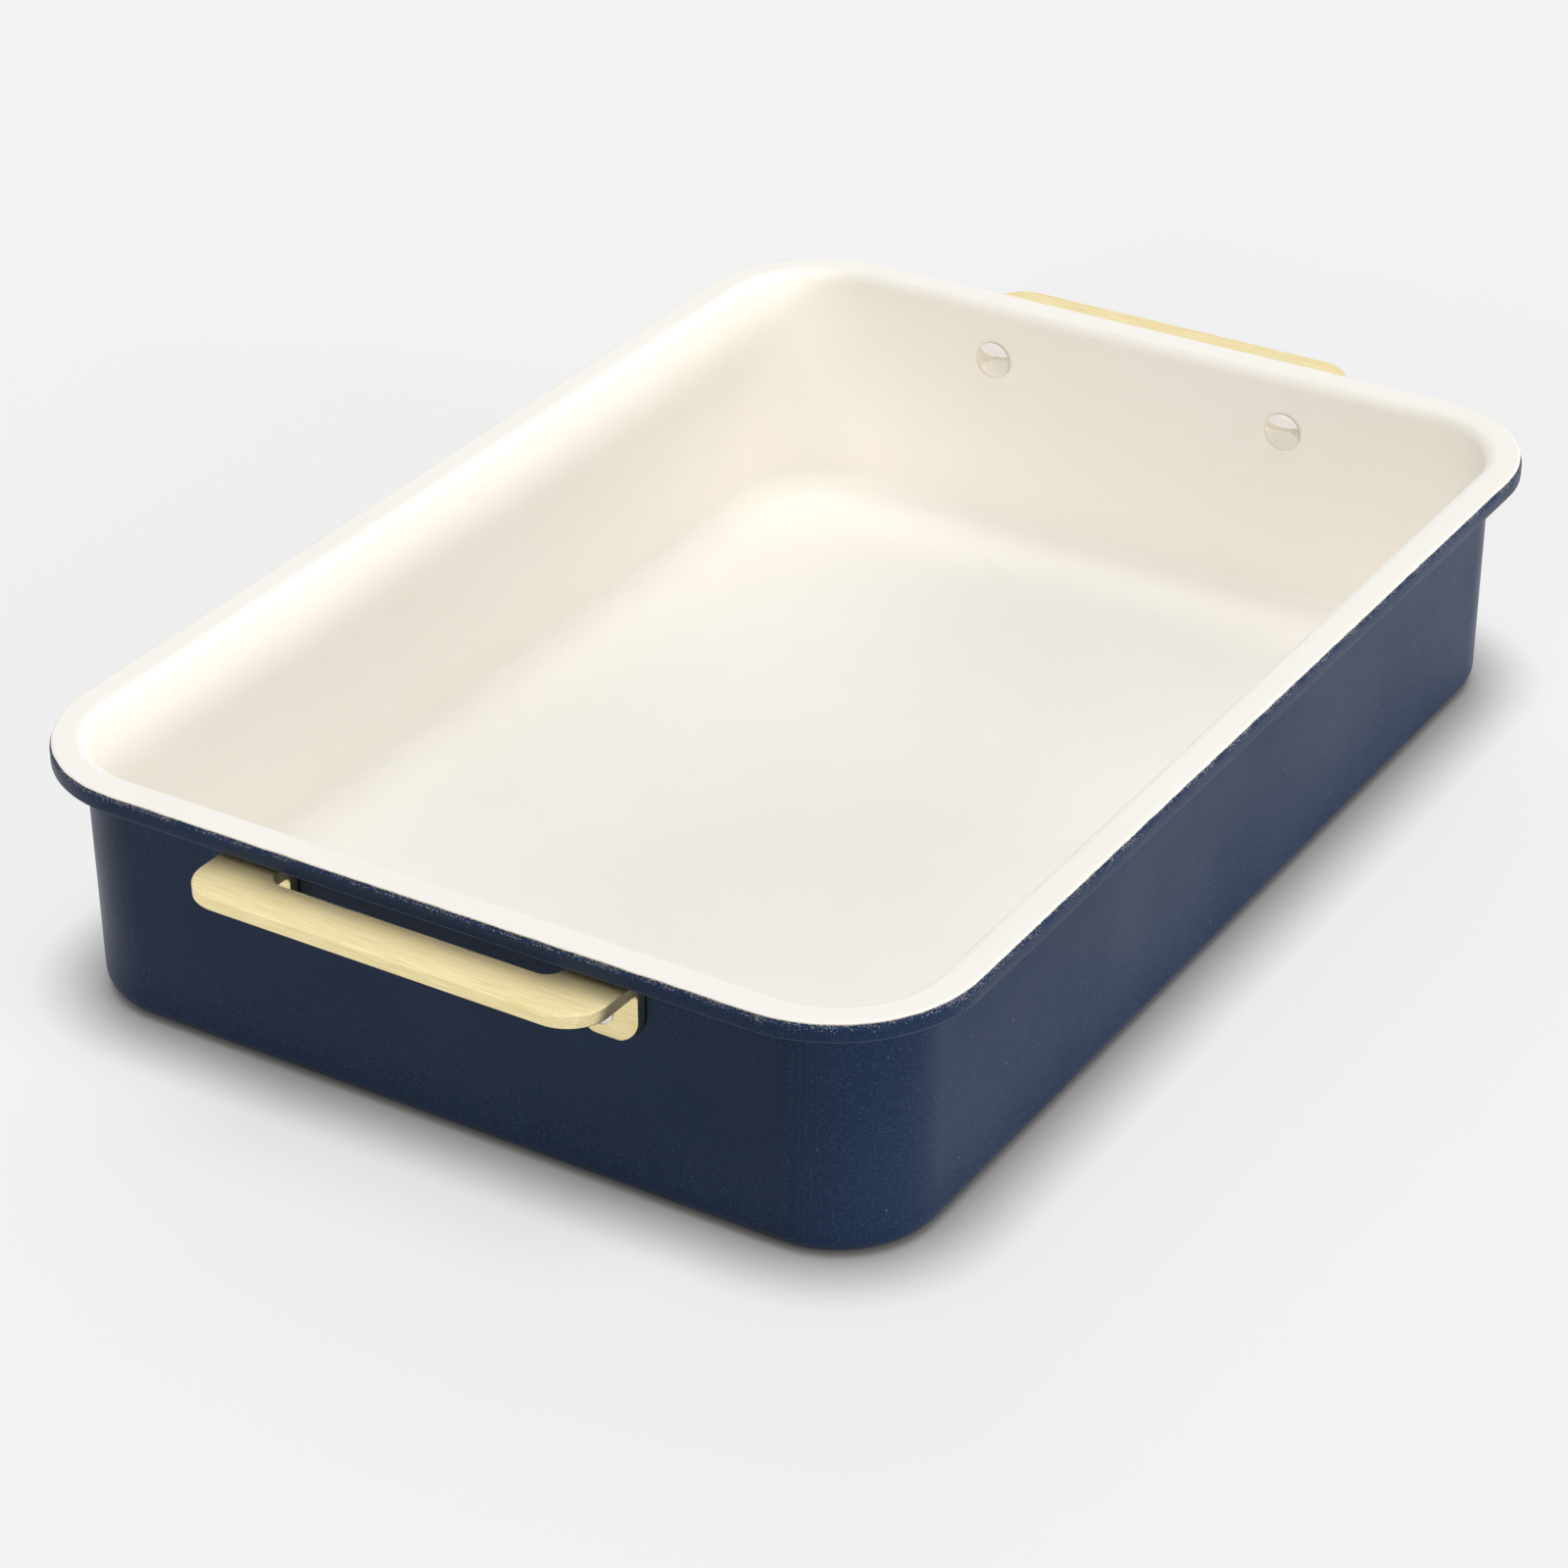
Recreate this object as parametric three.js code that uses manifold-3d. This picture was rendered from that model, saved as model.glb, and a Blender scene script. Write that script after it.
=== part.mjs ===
// Rectangular cake pan: a tray pressed from one steel sheet, lined with ceramic,
// with a bent sheet handle riveted to each end wall.
// Sizes are in millimetres and +Z is up. The origin lies under the middle of the base,
// +X runs along the pan's length, and the front handle is at -X.
import * as THREE from "three";
import { mergeVertices } from "three/addons/utils/BufferGeometryUtils.js";
import Module from "manifold-3d";

const wasm = await Module();
wasm.setup();

// Pressed tray
const RIM_LENGTH = 354;
const RIM_WIDTH = 248;
const RIM_CORNER_RADIUS = 36.8;
const WALL_CORNER_RADIUS = 26.5;
const PAN_HEIGHT = 67.7;
const RIM_OVERHANG = 8.65;
const LIP_DEPTH = 4.8;
const STEEL_THICKNESS = 0.9;
const LIP_BEND_RADIUS = 1.4;
const RIM_BEND_RADIUS = 2.75;
const BASE_BEND_RADIUS = 4.5;
const WALL_DRAFT = THREE.MathUtils.degToRad(0.3);

// Ceramic lining: it ends part of the way round the lip's bend
const CERAMIC_THICKNESS = 0.4;
const BOND_GAP = 0.05;
const COAT_WRAP = THREE.MathUtils.degToRad(28);

// Handles: one flat strap of sheet, cut like a wide U and folded once along its length
const HANDLE_LENGTH = 111.4;
const HANDLE_THICKNESS = 3.5;
const HANDLE_EDGE_RADIUS = 0.7;
const HANDLE_FOLD_RADIUS = 1.5;
const HANDLE_SEAT_GAP = 0.2;
const GRIP_REACH = 16.2;
const GRIP_WIDTH = 13.2;
const GRIP_TILT = THREE.MathUtils.degToRad(2);
const GRIP_BELOW_LIP = 1.2;
const GRIP_CORNER_RADIUS = 10.5;
const SLOT_CORNER_RADIUS = 4.5;
const LEG_WIDTH = 16.6;
const LEG_DEPTH = 23.2;
const LEG_CORNER_RADIUS = 6.5;

// Rivets: a domed head inside the pan, a shank and a low head closed over the leg.
// They stand in from the handle's ends and down from the rim.
const RIVET_INSET = 10;
const RIVET_DEPTH = 16.4;
const SHANK_DIAMETER = 3.5;
const SHANK_CLEARANCE = 0.2;
const DOME_DIAMETER = 10.8;
const DOME_HEIGHT = 2.2;
const DOME_RIM = 0.5;
const CLOSED_HEAD_DIAMETER = 7.2;
const CLOSED_HEAD_HEIGHT = 1.2;
const CLOSED_HEAD_RIM = 0.3;
const HEAD_SEAT_GAP = 0.1;

// Facet counts
const PAN_CORNER_STEPS = 10;
const LIP_BEND_STEPS = 4;
const RIM_BEND_STEPS = 5;
const BASE_BEND_STEPS = 6;
const FOLD_STEPS = 6;
const GRIP_CORNER_STEPS = 8;
const LEG_END_STEPS = 5;
const EDGE_STEPS = 3;
const HOLE_SIDES = 24;
const RIVET_SIDES = 24;
const DOME_STEPS = 5;

const QUARTER_TURN = Math.PI / 2;
const HALF_TURN = Math.PI;

// Solids for cutting
function solidOf(geometry) {
  const bare = geometry.clone();
  bare.deleteAttribute("normal");
  bare.deleteAttribute("uv");
  const merged = mergeVertices(bare);
  const vertProperties = merged.getAttribute("position").array;
  const triVerts = new Uint32Array(merged.getIndex().array);
  return new wasm.Manifold(new wasm.Mesh({ numProp: 3, vertProperties, triVerts }));
}

function geometryOf(solid) {
  const mesh = solid.getMesh();
  const geometry = new THREE.BufferGeometry();
  geometry.setAttribute("position", new THREE.BufferAttribute(mesh.vertProperties, 3));
  geometry.setIndex(new THREE.BufferAttribute(mesh.triVerts, 1));
  geometry.computeVertexNormals();
  return geometry;
}

function cutAway(geometry, cutters) {
  const whole = solidOf(geometry);
  return geometryOf(cutters.reduce((rest, cutter) => rest.subtract(solidOf(cutter)), whole));
}

// Skin over a row of closed loops of equal length, with a fan from a middle point at each end
function skinOver(loops, firstMiddle, lastMiddle) {
  const sides = loops[0].length;
  const points = [...loops.flat(), firstMiddle, lastMiddle];
  const firstIndex = points.length - 2;
  const lastIndex = points.length - 1;
  const lastLoop = (loops.length - 1) * sides;
  const index = [];
  for (let side = 0; side < sides; side++) {
    const next = (side + 1) % sides;
    index.push(firstIndex, side, next);
    index.push(lastIndex, lastLoop + next, lastLoop + side);
    for (let loop = 0; loop + 1 < loops.length; loop++) {
      const here = loop * sides;
      const there = here + sides;
      index.push(here + side, there + side, there + next);
      index.push(here + side, there + next, here + next);
    }
  }
  const geometry = new THREE.BufferGeometry();
  geometry.setFromPoints(points);
  geometry.setIndex(index);
  return geometry;
}

// Evenly spaced values from one end of a range to the other
function spread(from, to, steps) {
  return Array.from({ length: steps + 1 }, (_, step) => from + ((to - from) * step) / steps);
}

// Section of the pressed sheet. Its points are (inset from the lip's outer face, height).
// An offset moves the face away from the steel's upper and inner side: positive into the pan.
const FLANGE_TOP = PAN_HEIGHT - CERAMIC_THICKNESS - BOND_GAP;
const wallNormal = new THREE.Vector2(Math.cos(WALL_DRAFT), Math.sin(WALL_DRAFT));
const wallDown = new THREE.Vector2(Math.sin(WALL_DRAFT), -Math.cos(WALL_DRAFT));
const lipCentre = new THREE.Vector2(LIP_BEND_RADIUS, FLANGE_TOP - LIP_BEND_RADIUS);
const rimCentre = new THREE.Vector2(
  RIM_OVERHANG + STEEL_THICKNESS - RIM_BEND_RADIUS,
  FLANGE_TOP - RIM_BEND_RADIUS,
);
const baseCentre = baseBendCentre();

function baseBendCentre() {
  const acrossBends = wallNormal.clone().multiplyScalar(RIM_BEND_RADIUS + BASE_BEND_RADIUS);
  const start = rimCentre.clone().add(acrossBends);
  const drop = start.y - STEEL_THICKNESS - BASE_BEND_RADIUS;
  return start.addScaledVector(wallDown, drop / Math.cos(WALL_DRAFT));
}

function bend(centre, radius, fromAngle, toAngle, steps) {
  return spread(fromAngle, toAngle, steps).map(
    (angle) =>
      new THREE.Vector2(
        centre.x + radius * Math.cos(angle),
        centre.y + radius * Math.sin(angle),
      ),
  );
}

function sheetFace(offset, lipWrap) {
  return [
    ...bend(
      baseCentre,
      offset - BASE_BEND_RADIUS,
      QUARTER_TURN,
      WALL_DRAFT,
      BASE_BEND_STEPS,
    ),
    ...bend(rimCentre, RIM_BEND_RADIUS + offset, WALL_DRAFT, QUARTER_TURN, RIM_BEND_STEPS),
    ...bend(
      lipCentre,
      LIP_BEND_RADIUS + offset,
      QUARTER_TURN,
      QUARTER_TURN + lipWrap,
      LIP_BEND_STEPS,
    ),
  ];
}

// Corner radius in plan: it closes from the rim's to the wall's across the flange,
// and inside the wall's outer face the corners share one centre
function cornerRadius(inset) {
  const acrossFlange = (RIM_CORNER_RADIUS - WALL_CORNER_RADIUS) / RIM_OVERHANG;
  const pastWall = inset - RIM_OVERHANG;
  return WALL_CORNER_RADIUS - pastWall * (pastWall < 0 ? acrossFlange : 1);
}

// Loop round the pan at one point of the section: a rectangle with round corners
function panLoop({ x: inset, y: height }) {
  const radius = cornerRadius(inset);
  const cornerX = RIM_LENGTH / 2 - inset - radius;
  const cornerY = RIM_WIDTH / 2 - inset - radius;
  const corners = [
    [cornerX, cornerY, 0],
    [-cornerX, cornerY, QUARTER_TURN],
    [-cornerX, -cornerY, HALF_TURN],
    [cornerX, -cornerY, HALF_TURN + QUARTER_TURN],
  ];
  return corners.flatMap(([x, y, turn]) =>
    spread(turn, turn + QUARTER_TURN, PAN_CORNER_STEPS).map(
      (angle) =>
        new THREE.Vector3(
          x + radius * Math.cos(angle),
          y + radius * Math.sin(angle),
          height,
        ),
    ),
  );
}

function panShell(upperFace, lowerFace) {
  const section = [...upperFace, ...lowerFace.toReversed()];
  const upperMiddle = new THREE.Vector3(0, 0, upperFace[0].y);
  const lowerMiddle = new THREE.Vector3(0, 0, lowerFace[0].y);
  return skinOver(section.map(panLoop), upperMiddle, lowerMiddle);
}

function trayGeometry() {
  const lipBottom = PAN_HEIGHT - LIP_DEPTH;
  const upperFace = sheetFace(0, QUARTER_TURN);
  upperFace.push(new THREE.Vector2(0, lipBottom));
  const lowerFace = sheetFace(-STEEL_THICKNESS, QUARTER_TURN);
  lowerFace.push(new THREE.Vector2(STEEL_THICKNESS, lipBottom));
  return cutAway(panShell(upperFace, lowerFace), rivetHoles());
}

function liningGeometry() {
  const upperFace = sheetFace(BOND_GAP + CERAMIC_THICKNESS, COAT_WRAP);
  const lowerFace = sheetFace(BOND_GAP, COAT_WRAP);
  return cutAway(panShell(upperFace, lowerFace), rivetHoles());
}

// End walls. At the rear end the outward direction is +X, and the front end is half a turn away.
const CERAMIC_FACE = BOND_GAP + CERAMIC_THICKNESS;
const LEG_BACK = -STEEL_THICKNESS - HANDLE_SEAT_GAP;
const LEG_FRONT = LEG_BACK - HANDLE_THICKNESS;

// Point of the end wall's section, as (outward reach past the lip, height)
function endWallPoint(depth, offset) {
  const face = rimCentre.clone().addScaledVector(wallNormal, RIM_BEND_RADIUS);
  const drop = face.y - (PAN_HEIGHT - depth);
  face.addScaledVector(wallDown, drop / Math.cos(WALL_DRAFT));
  face.addScaledVector(wallNormal, offset);
  return new THREE.Vector2(-face.x, face.y);
}

function rearPoint({ x: reach, y: height }, across) {
  return new THREE.Vector3(RIM_LENGTH / 2 + reach, across, height);
}

// Rivets stand square to the end wall, with the dome on the pan's inner side
const rivetSides = [1, -1];
const rivetInward = new THREE.Vector3(-Math.cos(WALL_DRAFT), 0, Math.sin(WALL_DRAFT));
const lathe = new THREE.Vector3(0, 1, 0);
const rivetTurn = new THREE.Quaternion().setFromUnitVectors(lathe, rivetInward);

function rivetPlace(side) {
  return rearPoint(endWallPoint(RIVET_DEPTH, 0), side * (HANDLE_LENGTH / 2 - RIVET_INSET));
}

function endTurn(end) {
  return new THREE.Quaternion().setFromAxisAngle(new THREE.Vector3(0, 0, 1), end.turn);
}

function rivetHole(side) {
  const radius = SHANK_DIAMETER / 2 + SHANK_CLEARANCE;
  const length = 2 * (CERAMIC_FACE - LEG_FRONT + DOME_HEIGHT);
  const hole = new THREE.CylinderGeometry(radius, radius, length, HOLE_SIDES);
  hole.applyQuaternion(rivetTurn);
  const place = rivetPlace(side);
  return hole.translate(place.x, place.y, place.z);
}

function rivetHoles() {
  return ends.flatMap((end) =>
    rivetSides.map((side) => rivetHole(side).applyQuaternion(endTurn(end))),
  );
}

// Crown of a rivet head, from its rim to its top, as (radius, distance along the axis)
function headCrown(diameter, height, rim, seat, direction) {
  const radius = diameter / 2;
  const rise = height - rim;
  const ball = (radius * radius + rise * rise) / (2 * rise);
  const widest = Math.asin(radius / ball);
  const crown = spread(widest, 0, DOME_STEPS).map((angle) => {
    const above = ball * Math.cos(angle) - (ball - rise);
    return new THREE.Vector2(ball * Math.sin(angle), seat + direction * (rim + above));
  });
  crown[DOME_STEPS].x = 0;
  return [new THREE.Vector2(radius, seat), ...crown];
}

function rivetGeometry() {
  const closedSeat = LEG_FRONT - HEAD_SEAT_GAP;
  const domeSeat = CERAMIC_FACE + HEAD_SEAT_GAP;
  const closedHead = headCrown(
    CLOSED_HEAD_DIAMETER,
    CLOSED_HEAD_HEIGHT,
    CLOSED_HEAD_RIM,
    closedSeat,
    -1,
  );
  const dome = headCrown(DOME_DIAMETER, DOME_HEIGHT, DOME_RIM, domeSeat, 1);
  const shankRadius = SHANK_DIAMETER / 2;
  const profile = [
    ...closedHead.toReversed(),
    new THREE.Vector2(shankRadius, closedSeat),
    new THREE.Vector2(shankRadius, domeSeat),
    ...dome,
  ];
  return new THREE.LatheGeometry(profile, RIVET_SIDES);
}

// Fold of the handle, as (outward reach past the lip, height) of the sheet's middle
const legMiddle = (LEG_BACK + LEG_FRONT) / 2;
const foldRadius = HANDLE_FOLD_RADIUS + HANDLE_THICKNESS / 2;
const legHeading = QUARTER_TURN - WALL_DRAFT;
const foldAngle = legHeading - GRIP_TILT;
const foldLength = foldAngle * foldRadius;
const foldCentre = handleFoldCentre();
const legTop = onFold(0, 0);
const gripRoot = onFold(foldLength, 0);

function heading(angle) {
  return new THREE.Vector2(Math.cos(angle), Math.sin(angle));
}

function sheetBack(angle) {
  return new THREE.Vector2(-Math.sin(angle), Math.cos(angle));
}

// The centre lies one fold radius from the middle of the leg and from the middle of the grip
function handleFoldCentre() {
  const onLeg = endWallPoint(LEG_DEPTH, legMiddle);
  onLeg.addScaledVector(sheetBack(legHeading), -foldRadius);
  const gripTop = PAN_HEIGHT - LIP_DEPTH - GRIP_BELOW_LIP;
  const onGrip = new THREE.Vector2(0, gripTop);
  onGrip.addScaledVector(sheetBack(GRIP_TILT), -HANDLE_THICKNESS / 2 - foldRadius);
  const up = heading(legHeading);
  const out = heading(GRIP_TILT);
  const between = onGrip.clone().sub(onLeg);
  return onLeg.addScaledVector(up, between.cross(out) / up.cross(out));
}

function onFold(along, lift) {
  const angle = legHeading - along / foldRadius;
  return foldCentre.clone().addScaledVector(sheetBack(angle), foldRadius + lift);
}

// Place of a point of the flat blank: along the sheet from the fold's start, across, and lift
function folded(along, across, lift) {
  if (along < 0) {
    const onLeg = legTop.clone().addScaledVector(heading(legHeading), along);
    return rearPoint(onLeg.addScaledVector(sheetBack(legHeading), lift), across);
  }
  if (along > foldLength) {
    const onGrip = gripRoot.clone().addScaledVector(heading(GRIP_TILT), along - foldLength);
    return rearPoint(onGrip.addScaledVector(sheetBack(GRIP_TILT), lift), across);
  }
  return rearPoint(onFold(along, lift), across);
}

// Stations of one half of the strap: its inner and outer edge in the blank, and its half thickness
function strapStations() {
  const outerEdge = HANDLE_LENGTH / 2;
  const innerEdge = outerEdge - LEG_WIDTH;
  const gripEdge = foldLength + (GRIP_REACH - gripRoot.x) / Math.cos(GRIP_TILT);
  const slotEdge = gripEdge - GRIP_WIDTH;
  const legEnd = (PAN_HEIGHT - LEG_DEPTH - legTop.y) / Math.cos(WALL_DRAFT);
  const fullHalf = HANDLE_THICKNESS / 2;
  const straight = (along) => ({
    inner: [along, innerEdge],
    outer: [along, outerEdge],
    half: fullHalf,
  });

  const edgeRises = spread(0, QUARTER_TURN, EDGE_STEPS).map(
    (angle) => HANDLE_EDGE_RADIUS * (1 - Math.cos(angle)),
  );
  const cornerRises = spread(0, QUARTER_TURN, LEG_END_STEPS).map(
    (angle) => LEG_CORNER_RADIUS * (1 - Math.cos(angle)),
  );
  const rises = [...edgeRises, ...cornerRises.filter((rise) => rise > HANDLE_EDGE_RADIUS)];
  const legRounding = rises.map((rise) => {
    const pinch = roundedInset(rise, LEG_CORNER_RADIUS);
    return {
      inner: [legEnd + rise, innerEdge + pinch],
      outer: [legEnd + rise, outerEdge - pinch],
      half: fullHalf - roundedInset(rise, HANDLE_EDGE_RADIUS),
    };
  });
  const fold = spread(0, foldLength, FOLD_STEPS).map(straight);
  const corner = spread(QUARTER_TURN, 0, GRIP_CORNER_STEPS).map((angle) => ({
    inner: cornerPoint(slotEdge, innerEdge, SLOT_CORNER_RADIUS, angle),
    outer: cornerPoint(gripEdge, outerEdge, GRIP_CORNER_RADIUS, angle),
    half: fullHalf,
  }));
  return [...legRounding, ...fold, ...corner];
}

// How far a rounded edge stands back at a given rise above its end
function roundedInset(rise, radius) {
  const below = Math.max(radius - rise, 0);
  return radius - Math.sqrt(radius * radius - below * below);
}

function cornerPoint(alongEdge, acrossEdge, radius, angle) {
  return [
    alongEdge - radius + radius * Math.cos(angle),
    acrossEdge - radius + radius * Math.sin(angle),
  ];
}

// Loop round the strap at one station, with rounded edges
function strapLoop({ inner, outer, half }) {
  const from = new THREE.Vector2(...inner);
  const to = new THREE.Vector2(...outer);
  const width = from.distanceTo(to);
  const corners = [
    [width - HANDLE_EDGE_RADIUS, half - HANDLE_EDGE_RADIUS, 0],
    [HANDLE_EDGE_RADIUS, half - HANDLE_EDGE_RADIUS, QUARTER_TURN],
    [HANDLE_EDGE_RADIUS, HANDLE_EDGE_RADIUS - half, HALF_TURN],
    [width - HANDLE_EDGE_RADIUS, HANDLE_EDGE_RADIUS - half, HALF_TURN + QUARTER_TURN],
  ];
  return corners.flatMap(([middle, lift, turn]) =>
    spread(turn, turn + QUARTER_TURN, EDGE_STEPS).map((angle) => {
      const share = (middle + HANDLE_EDGE_RADIUS * Math.cos(angle)) / width;
      const place = from.clone().lerp(to, share);
      return folded(place.x, place.y, lift + HANDLE_EDGE_RADIUS * Math.sin(angle));
    }),
  );
}

function mirroredStation({ inner, outer, half }) {
  return { inner: [inner[0], -inner[1]], outer: [outer[0], -outer[1]], half };
}

function legEndMiddle({ inner, outer }) {
  return folded(inner[0], (inner[1] + outer[1]) / 2, 0);
}

function handleGeometry() {
  const leftHalf = strapStations();
  const rightHalf = leftHalf.map(mirroredStation);
  const stations = [...rightHalf, ...leftHalf.toReversed()];
  const firstMiddle = legEndMiddle(stations[0]);
  const lastMiddle = legEndMiddle(stations.at(-1));
  const strap = skinOver(stations.map(strapLoop), firstMiddle, lastMiddle);
  return cutAway(strap, rivetSides.map(rivetHole));
}

// Finishes
const navyCoat = new THREE.MeshStandardMaterial({ color: 0x2b3850, roughness: 0.5, metalness: 0.2 });
const creamCeramic = new THREE.MeshStandardMaterial({ color: 0xeee5d4, roughness: 0.45, metalness: 0 });
const satinGold = new THREE.MeshStandardMaterial({ color: 0xe3d3a6, roughness: 0.35, metalness: 1 });
const brightSteel = new THREE.MeshStandardMaterial({ color: 0xdcdad6, roughness: 0.15, metalness: 1 });

// Assembly
const ends = [
  { name: "rear", turn: 0, sideNames: ["left", "right"] },
  { name: "front", turn: HALF_TURN, sideNames: ["right", "left"] },
];

function piece(name, geometry, material) {
  const mesh = new THREE.Mesh(geometry, material);
  mesh.name = name;
  return mesh;
}

function endGroup(end) {
  const group = new THREE.Group();
  group.rotation.z = end.turn;
  group.add(piece(`${end.name}_handle`, handleGeometry(), satinGold));
  rivetSides.forEach((side, index) => {
    const rivet = piece(`rivet_${end.name}_${end.sideNames[index]}`, rivetGeometry(), brightSteel);
    rivet.position.copy(rivetPlace(side));
    rivet.quaternion.copy(rivetTurn);
    group.add(rivet);
  });
  return group;
}

const cakePan = new THREE.Group();
cakePan.add(piece("pan_body", trayGeometry(), navyCoat));
cakePan.add(piece("ceramic_lining", liningGeometry(), creamCeramic));
cakePan.add(...ends.map(endGroup));

export default cakePan;
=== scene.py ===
# A rectangular cake pan: a pressed steel tray, its ceramic lining and two riveted sheet handles.
import math

import bmesh
import bpy
from mathutils import Matrix, Vector, noise


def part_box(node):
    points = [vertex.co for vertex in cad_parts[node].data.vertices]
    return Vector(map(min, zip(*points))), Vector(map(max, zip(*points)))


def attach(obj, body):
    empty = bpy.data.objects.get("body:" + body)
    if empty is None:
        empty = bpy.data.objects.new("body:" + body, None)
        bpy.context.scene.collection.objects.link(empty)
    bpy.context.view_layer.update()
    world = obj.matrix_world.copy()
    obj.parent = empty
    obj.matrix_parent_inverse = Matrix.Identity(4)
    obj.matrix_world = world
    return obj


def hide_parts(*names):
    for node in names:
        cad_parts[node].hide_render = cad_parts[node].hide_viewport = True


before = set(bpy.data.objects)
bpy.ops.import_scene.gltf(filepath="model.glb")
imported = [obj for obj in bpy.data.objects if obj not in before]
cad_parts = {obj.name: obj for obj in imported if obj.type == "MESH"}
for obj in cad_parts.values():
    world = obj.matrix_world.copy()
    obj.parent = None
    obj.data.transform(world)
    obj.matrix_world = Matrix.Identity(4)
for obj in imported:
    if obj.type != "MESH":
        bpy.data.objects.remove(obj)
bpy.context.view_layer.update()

scene = bpy.context.scene
scene.view_settings.view_transform = "Standard"


# Camera: a long lens high over the pan's front corner, a little over a metre away.
# The front handle's end of the pan is nearest, and the pan fills a square frame.
mm = 0.001
camera_azimuth = math.radians(-58.09)
camera_elevation = math.radians(30.34)
camera_roll = math.radians(-0.41)
camera_distance = 1143 * mm
camera_aim = Vector((-5.9, 9.5, 8.75)) * mm

camera_lens = bpy.data.cameras.new("camera")
camera_lens.sensor_width = 36
camera_lens.lens = 101.8
camera_lens.clip_start = 10 * mm
camera = bpy.data.objects.new("camera", camera_lens)
scene.collection.objects.link(camera)
scene.camera = camera
camera_turn = (
    Matrix.Rotation(camera_azimuth, 4, "Z")
    @ Matrix.Rotation(math.pi / 2 - camera_elevation, 4, "X")
    @ Matrix.Rotation(camera_roll, 4, "Z")
)
backwards = camera_turn.to_3x3() @ Vector((0, 0, camera_distance))
camera.matrix_world = Matrix.Translation(camera_aim + backwards) @ camera_turn


# Studio: a wide pale floor under a soft sky, with one wide lamp overhead and one behind
# the pan on its left. Three low lamps from the front and the right light the walls.
def linear(red, green, blue):
    """A colour given as it looks on a screen, from 0 to 255, as the linear light that shaders take."""
    shares = [value / 255 for value in (red, green, blue)]
    return [
        share / 12.92 if share <= 0.04045 else ((share + 0.055) / 1.055) ** 2.4
        for share in shares
    ]


def new_material(name):
    """A material with an empty node tree but its output, which its section fills."""
    material = bpy.data.materials.new(name)
    material.use_nodes = True
    nodes = material.node_tree.nodes
    nodes.clear()
    nodes.new("ShaderNodeOutputMaterial")
    return material


def add_node(tree, kind, settings=None, **inputs):
    """A node of a tree. Inputs take a value or the output socket of another node."""
    node = tree.nodes.new(kind)
    for name, value in (settings or {}).items():
        setattr(node, name, value)
    for name, value in inputs.items():
        socket = node.inputs[name.replace("_", " ")]
        if isinstance(value, bpy.types.NodeSocket):
            tree.links.new(value, socket)
        else:
            socket.default_value = value
    return node


def calculate(tree, operation, first, second=0.0):
    """The result of a calculation on values or sockets."""
    node = tree.nodes.new("ShaderNodeMath")
    node.operation = operation
    for socket, value in zip(node.inputs, (first, second)):
        if isinstance(value, bpy.types.NodeSocket):
            tree.links.new(value, socket)
        else:
            socket.default_value = value
    return node.outputs[0]


def blend(tree, share, first, second):
    """A colour between two others, each a colour or a socket."""
    node = add_node(tree, "ShaderNodeMix", {"data_type": "RGBA"}, Factor=share)
    for socket, value in zip((node.inputs[6], node.inputs[7]), (first, second)):
        if isinstance(value, bpy.types.NodeSocket):
            tree.links.new(value, socket)
        else:
            socket.default_value = (*value, 1)
    return node.outputs[2]


def surface(material, shader):
    """Joins a shader to a material's output."""
    tree = material.node_tree
    output = tree.nodes["Material Output"]
    tree.links.new(shader.outputs[0], output.inputs["Surface"])


def seen_rays(tree):
    """1 for what the camera sees, also in metal or glass, and 0 for the light that falls on things."""
    seen = add_node(tree, "ShaderNodeLightPath").outputs
    mirrored = calculate(tree, "MAXIMUM", seen["Is Glossy Ray"], seen["Is Transmission Ray"])
    return calculate(tree, "MAXIMUM", seen["Is Camera Ray"], mirrored)


def new_lamp(name, azimuth, elevation, spread, light, colour):
    """A wide soft light from far away, not mirrored in metal. Azimuth 0 faces the long side."""
    lamp = bpy.data.lights.new(name, "SUN")
    lamp.angle = math.radians(spread)
    lamp.energy = light * math.pi
    lamp.color = colour
    holder = bpy.data.objects.new(name, lamp)
    holder.visible_glossy = False
    scene.collection.objects.link(holder)
    holder.matrix_world = (
        Matrix.Rotation(math.radians(azimuth), 4, "Z")
        @ Matrix.Rotation(math.pi / 2 - math.radians(elevation), 4, "X")
    )


# Most of the floor's shade is evened out, and some is put back close to the pan
floor_white = linear(245, 245, 245)
floor_bounce = linear(108, 108, 108)
floor_evening = 0.7
contact_reach = 20 * mm
contact_depth = 1.8
floor_half = 8.0
floor_drop = 0.1 * mm
floor_mesh = bpy.data.meshes.new("floor")
floor_corners = [(-1, -1), (1, -1), (1, 1), (-1, 1)]
floor_mesh.from_pydata(
    [(x * floor_half, y * floor_half, -floor_drop) for x, y in floor_corners], [], [(0, 1, 2, 3)]
)
floor = bpy.data.objects.new("floor", floor_mesh)
scene.collection.objects.link(floor)
floor_paint = new_material("floor_paint")
tree = floor_paint.node_tree
floor_colour = blend(tree, seen_rays(tree), floor_bounce, floor_white)
shaded = add_node(tree, "ShaderNodeBsdfDiffuse", Color=floor_colour)
openness = add_node(
    tree, "ShaderNodeAmbientOcclusion", {"samples": 16}, Distance=contact_reach
).outputs["AO"]
evened = add_node(
    tree,
    "ShaderNodeEmission",
    Color=(*floor_white, 1),
    Strength=calculate(tree, "POWER", openness, contact_depth),
)
floor_look = add_node(
    tree, "ShaderNodeMixShader", Fac=calculate(tree, "MULTIPLY", seen_rays(tree), floor_evening)
)
tree.links.new(shaded.outputs[0], floor_look.inputs[1])
tree.links.new(evened.outputs[0], floor_look.inputs[2])
surface(floor_paint, floor_look)
floor_mesh.materials.append(floor_paint)

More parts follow.
